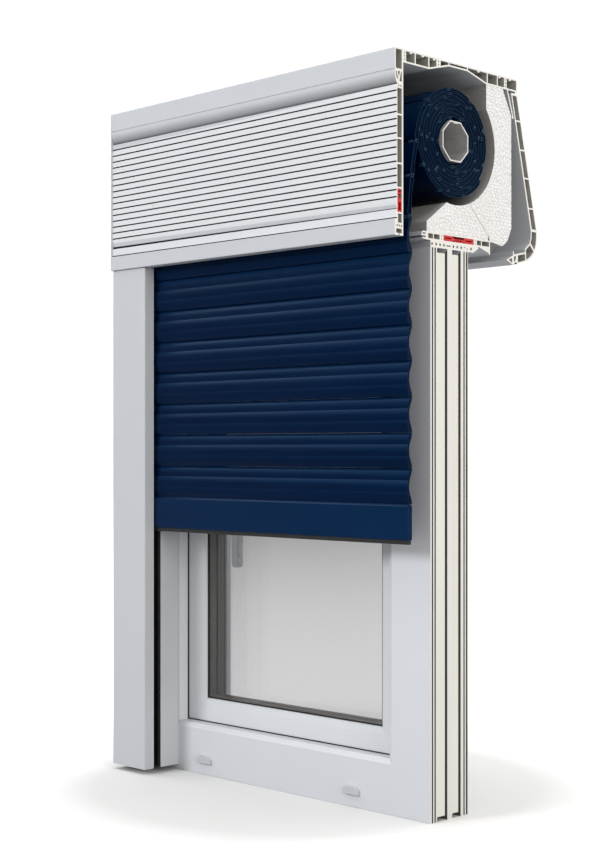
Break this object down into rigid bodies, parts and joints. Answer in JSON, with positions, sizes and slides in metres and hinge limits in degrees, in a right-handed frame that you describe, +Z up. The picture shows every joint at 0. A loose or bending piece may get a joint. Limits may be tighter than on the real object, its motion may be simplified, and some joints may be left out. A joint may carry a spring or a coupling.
{
  "type": "motorised roller shutter window unit",
  "caption": "Sawn-open sample of a roller shutter box on a turn-and-tilt window: insulated box, dark blue slat roll on an octagonal motor tube, half-lowered curtain, guide rail, glazed sash.",
  "frame": {"origin": "bottom centre of the whole unit, on the surface that the frame stands on", "axes": "+Z up, +X along the tube towards the sawn-open end, +Y from outside into the room"},
  "size_m": [0.649, 0.34, 1.124],
  "materials": {
    "white_pvc": "satin white window PVC, extruded",
    "red_stiffener": "red plastic stiffener",
    "eps_foam": null,
    "black_rubber": "soft black rubber",
    "black_brush": "black pile",
    "galvanised_steel": "galvanised sheet",
    "zinc_screw": "bright zinc",
    "spring_steel": "blued spring steel",
    "black_plastic": "moulded black plastic",
    "motor_paint": "grey painted steel tube",
    "navy_slat": "dark blue satin slats",
    "navy_end_slat": "dark blue powder-coated aluminium",
    "cream_strip": "cream filler strip",
    "window_glass": "clear float glass",
    "spacer_bar": "grey spacer bar",
    "handle_metal": "anodised satin aluminium",
    "fitting_zinc": "zinc-plated steel",
    "hinge_cover": "white covered hinge"
  },
  "bodies": {
    "unit": {"box_front_panel": "white_pvc", "box_top_profile": "white_pvc", "box_base_profile": "white_pvc", "coupling_strip": "white_pvc", "box_end_cap": "white_pvc", "guide_rail": "white_pvc", "frame_sill": "white_pvc", "frame_head": "white_pvc", "frame_left_jamb": "white_pvc", "frame_right_jamb": "white_pvc", "drain_caps": "white_pvc", "box_front_insert": "red_stiffener", "box_base_insert": "red_stiffener", "eps_rear_shell": "eps_foam", "eps_lower_block": "eps_foam", "frame_gasket": "black_rubber", "rail_seals": "black_brush", "motor_bracket": "galvanised_steel", "bracket_screws": "zinc_screw", "rail_screws": "zinc_screw", "motor_head": "black_plastic", "motor_body": "motor_paint", "jamb_strips": "cream_strip", "strike_plates": "fitting_zinc", "frame_hinges": "hinge_cover"},
    "winding_tube": {"octagon_tube": "galvanised_steel", "limit_crown": "black_plastic", "drive_adapter": "black_plastic", "wound_curtain": "navy_slat", "hanger_links": "spring_steel"},
    "curtain": {"slat_1": "navy_slat", "slat_2": "navy_slat", "slat_3": "navy_slat", "upper_slats": "navy_slat", "lead_in_slats": "navy_slat", "end_slat": "navy_end_slat", "end_slat_seal": "black_rubber", "slat_end_clips": "black_plastic"},
    "box_cover": {"inspection_cover": "white_pvc", "cover_seal": "black_rubber"},
    "corner_hinge": {"corner_pivot": "fitting_zinc"},
    "sash": {"sash_bottom_rail": "white_pvc", "sash_top_rail": "white_pvc", "sash_handle_stile": "white_pvc", "sash_hinge_stile": "white_pvc", "glazing_beads": "white_pvc", "glass_panes": "window_glass", "glass_spacers": "spacer_bar", "glazing_gaskets": "black_rubber", "sash_gasket": "black_rubber", "handle_rosette": "handle_metal", "sash_hinges": "hinge_cover", "stay_arm": "fitting_zinc"},
    "handle": {"handle_lever": "handle_metal", "handle_spindle": "zinc_screw"},
    "lock_bar": {"locking_bar": "fitting_zinc"}
  },
  "joints": [
    {"name": "tube_spin", "type": "hinge", "parent": "unit", "child": "winding_tube", "pos_m": [0, -0.033, 1.007], "axis": [-1, 0, 0], "range_deg": [-285, 305]},
    {"name": "curtain_travel", "type": "slide", "parent": "unit", "child": "curtain", "axis": [0, 0, 1], "range_m": [-0.404, 0.432], "deforming": ["upper_slats", "lead_in_slats"]},
    {"name": "cover_swing", "type": "hinge", "parent": "unit", "child": "box_cover", "pos_m": [0, 0.114, 1.1025], "axis": [1, 0, 0], "range_deg": [0, 25]},
    {"name": "sash_tilt", "type": "hinge", "parent": "unit", "child": "corner_hinge", "pos_m": [0.2785, 0.005, 0.046], "axis": [-1, 0, 0], "range_deg": [0, 8]},
    {"name": "sash_turn", "type": "hinge", "parent": "corner_hinge", "child": "sash", "pos_m": [0.2785, 0.005, 0.046], "axis": [0, 0, -1], "range_deg": [0, 90]},
    {"name": "handle_turn", "type": "hinge", "parent": "sash", "child": "handle", "pos_m": [-0.245, 0.0025, 0.46], "axis": [0, -1, 0], "range_deg": [0, 180]},
    {"name": "lock_slide", "type": "slide", "parent": "sash", "child": "lock_bar", "axis": [0, 0, 1], "range_m": [0, 0.037]}
  ],
  "couplings": [
    {"joint": "curtain_travel", "follows": "tube_spin", "m_per_rad": 0.081},
    {"joint": "lock_slide", "follows": "handle_turn", "m_per_rad": 0.01146}
  ]
}
